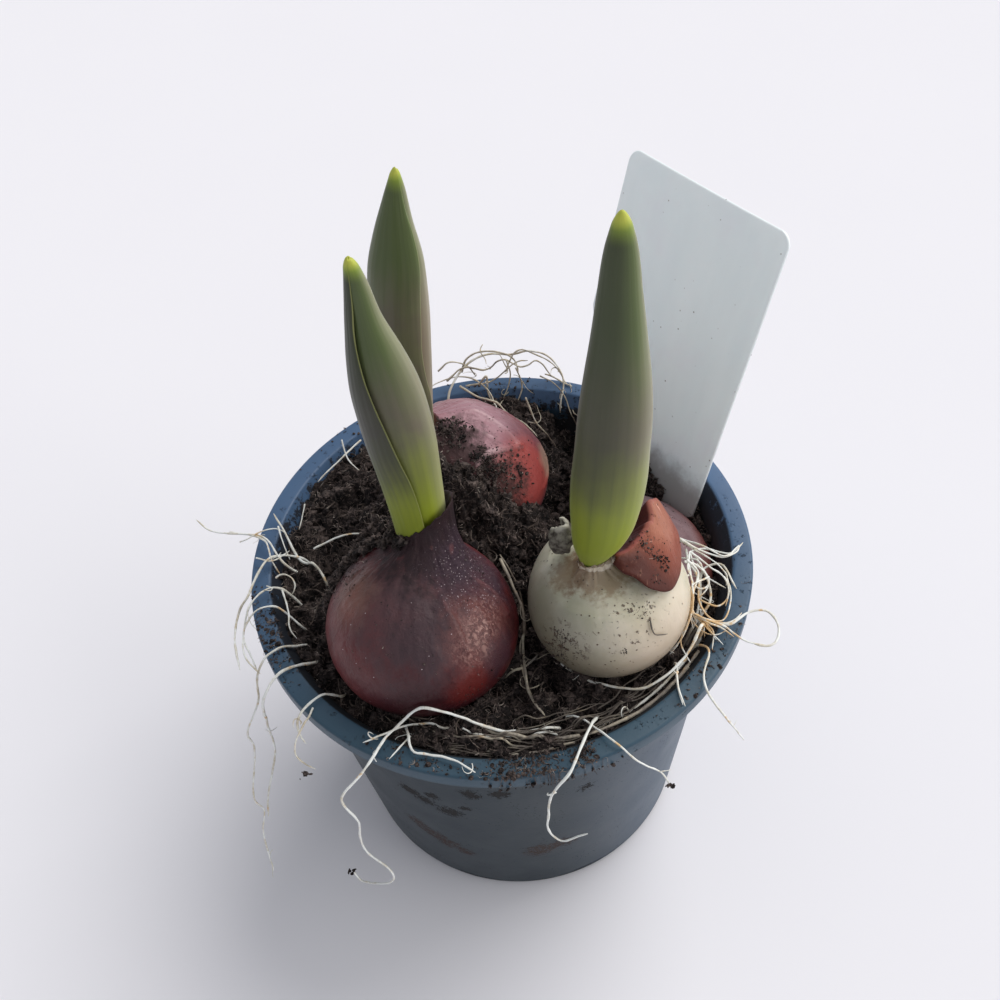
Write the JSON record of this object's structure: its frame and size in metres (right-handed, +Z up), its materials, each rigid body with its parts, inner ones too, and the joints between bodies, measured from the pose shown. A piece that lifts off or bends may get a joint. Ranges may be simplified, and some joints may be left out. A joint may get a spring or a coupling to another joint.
{
  "type": "potted tulip bulbs",
  "caption": "Tapered plastic pot of peat with half-buried tulip bulbs, closed green leaf spears, a blank stake label and thin roots hanging over the rim.",
  "frame": {"origin": "centre of the pot's base, on the surface it stands on", "axes": "+Z up along the pot, -Y towards the viewer of the picture, +X to the right"},
  "size_m": [0.1439, 0.1328, 0.205],
  "materials": {
    "pot_plastic": "slate blue moulded plastic, satin",
    "peat": "dark fibrous peat, matt",
    "tunic_maroon": "maroon-brown papery skin, satin",
    "scale_cream": "cream-white bare bulb scale, waxy",
    "tunic_terracotta": "terracotta papery skin, satin",
    "husk_grey": "grey dried scrap, matt",
    "tunic_pink": "reddish pink papery skin, satin",
    "tunic_mauve": "mauve-brown papery skin, matt",
    "leaf_green": "green-brown waxy leaf, satin",
    "leaf_inner": "green waxy leaf, satin",
    "label_plastic": "pale grey-white plastic sheet",
    "root_pale": "pale thin roots, matt"
  },
  "bodies": {
    "root": {"pot": "pot_plastic", "soil": "peat", "bulb_1": "tunic_maroon", "bulb_2": "scale_cream", "bulb_2_tunic": "tunic_terracotta", "bulb_2_husk": "husk_grey", "bulb_3": "tunic_pink", "bulb_4": "tunic_mauve", "shoot_1_outer_leaf": "leaf_green", "shoot_2_outer_leaf": "leaf_green", "shoot_3_outer_leaf": "leaf_green", "shoot_1_inner_leaf": "leaf_inner", "shoot_2_inner_leaf": "leaf_inner", "shoot_3_inner_leaf": "leaf_inner", "label": "label_plastic", "roots_left": "root_pale", "roots_front_left": "root_pale", "roots_front_right": "root_pale", "roots_between": "root_pale", "roots_right": "root_pale", "roots_back": "root_pale"}
  },
  "joints": []
}
